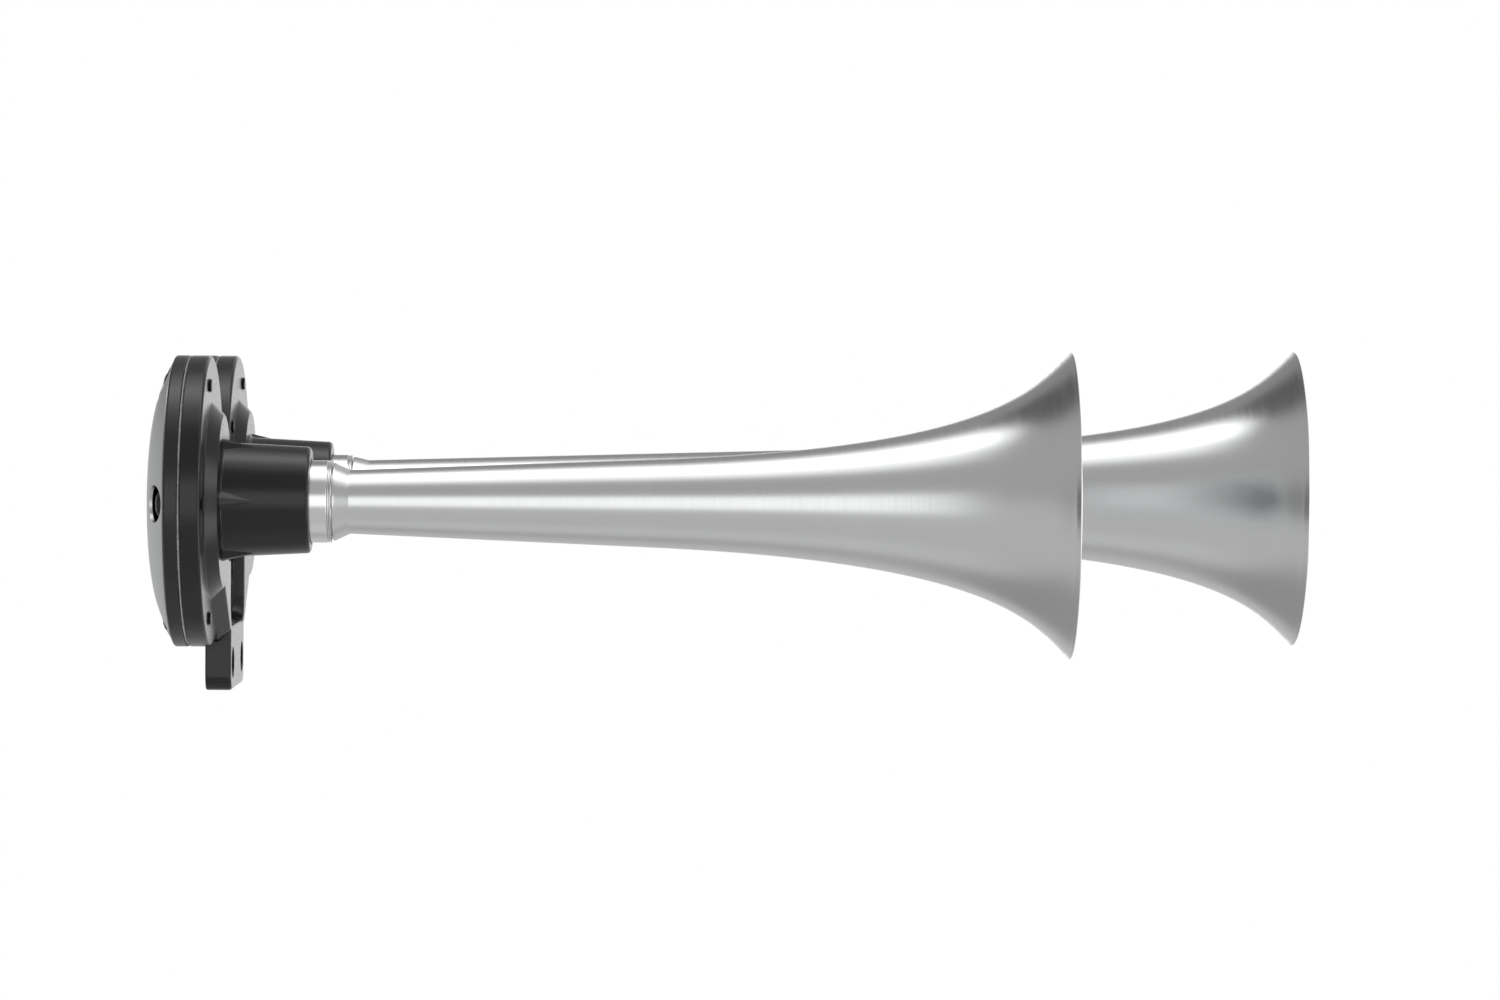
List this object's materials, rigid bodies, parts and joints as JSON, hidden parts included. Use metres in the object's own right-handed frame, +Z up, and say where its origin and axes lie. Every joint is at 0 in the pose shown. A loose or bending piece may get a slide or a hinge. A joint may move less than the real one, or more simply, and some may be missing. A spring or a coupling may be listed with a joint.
{
  "type": "twin-trumpet air horn",
  "caption": "Compressed-air horn: a long and a short spun trumpet on one black casting with round diaphragm heads and a bolt-down foot.",
  "frame": {"origin": "on the rear face of the foot, midway between its two bolt holes", "axes": "+X along the trumpets towards the bells, +Z up, +Y towards the long trumpet"},
  "size_m": [0.3866, 0.209, 0.1146],
  "materials": {
    "cast_black": "satin black coated die casting",
    "cover_black": "satin black moulded cover",
    "spun_aluminium": "smooth satin, spun",
    "ferrule_metal": "bright turned",
    "satin_cap": "satin",
    "black_steel": "black oxide",
    "spring_steel": "brushed",
    "gasket": "matte fibre sheet",
    "seal_rubber": "matte",
    "brass": "turned"
  },
  "bodies": {
    "housing": {"twin_head_casting": "cast_black", "air_inlet": "brass", "inlet_washer": "seal_rubber", "short_front_gasket": "gasket", "short_rear_gasket": "gasket", "short_back_cover": "cover_black", "short_dome": "satin_cap", "short_nozzle": "brass", "short_o_ring": "seal_rubber", "short_ferrule": "ferrule_metal", "short_trumpet": "spun_aluminium", "short_screw_1": "black_steel", "short_screw_2": "black_steel", "short_screw_3": "black_steel", "short_screw_4": "black_steel", "short_screw_5": "black_steel", "long_front_gasket": "gasket", "long_rear_gasket": "gasket", "long_back_cover": "cover_black", "long_dome": "satin_cap", "long_nozzle": "brass", "long_o_ring": "seal_rubber", "long_ferrule": "ferrule_metal", "long_trumpet": "spun_aluminium", "long_screw_1": "black_steel", "long_screw_2": "black_steel", "long_screw_3": "black_steel", "long_screw_4": "black_steel", "long_screw_5": "black_steel"},
    "short_diaphragm": {"short_diaphragm": "spring_steel"},
    "long_diaphragm": {"long_diaphragm": "spring_steel"}
  },
  "joints": [
    {"name": "short_diaphragm_lift", "type": "slide", "parent": "housing", "child": "short_diaphragm", "axis": [-1, 0, 0], "range_m": [0, 0.0004], "stiffness_N_per_m": 200},
    {"name": "long_diaphragm_lift", "type": "slide", "parent": "housing", "child": "long_diaphragm", "axis": [-1, 0, 0], "range_m": [0, 0.0004], "stiffness_N_per_m": 200}
  ]
}
